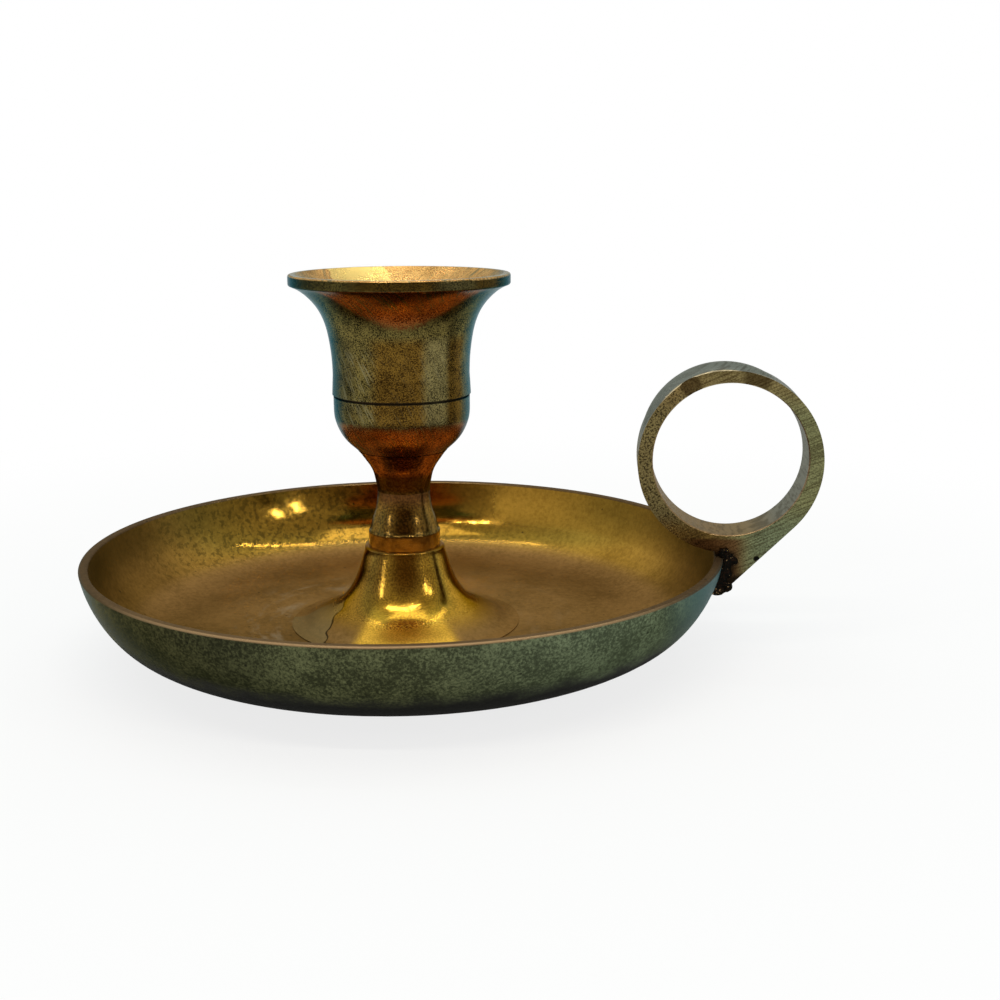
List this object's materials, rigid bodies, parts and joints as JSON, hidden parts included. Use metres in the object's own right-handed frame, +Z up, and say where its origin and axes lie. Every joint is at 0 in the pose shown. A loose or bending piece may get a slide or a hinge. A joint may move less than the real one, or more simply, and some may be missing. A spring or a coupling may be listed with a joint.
{
  "type": "chamberstick",
  "caption": "Brass chamberstick: a shallow round drip pan with a bell-footed stem, a flared candle cup that unscrews, and a ring handle brazed to the rim for a finger.",
  "frame": {"origin": "on the table, at the centre of the pan's resting ring, under the stick's axis", "axes": "+Z up along the stick, +X towards the ring handle"},
  "size_m": [0.1453, 0.1268, 0.0757],
  "materials": {
    "pan_brass": "tarnished satin, warm gold inside and dark olive outside",
    "stick_brass": "turned and polished, tarnished to olive gold with red-brown hollows",
    "handle_brass": "cast and filed, satin with fine file marks",
    "braze_filler": "rough, oxidised nearly black",
    "fixing_brass": "plain machined"
  },
  "bodies": {
    "base": {"drip_pan": "pan_brass", "bell_foot": "stick_brass", "stem": "stick_brass", "foot_screw": "fixing_brass", "foot_washer": "fixing_brass", "ring_handle": "handle_brass", "handle_braze": "braze_filler"},
    "stud": {"cup_stud": "fixing_brass"},
    "cup": {"candle_cup": "stick_brass"}
  },
  "joints": [
    {"name": "cup_turn", "type": "hinge", "parent": "base", "child": "stud", "pos_m": [0, 0, 0.0411], "axis": [0, 0, 1], "range_deg": [0, 1800]},
    {"name": "cup_rise", "type": "slide", "parent": "stud", "child": "cup", "axis": [0, 0, 1], "range_m": [0, 0.005]}
  ],
  "couplings": [
    {"joint": "cup_rise", "follows": "cup_turn", "m_per_rad": 0.00015915}
  ]
}
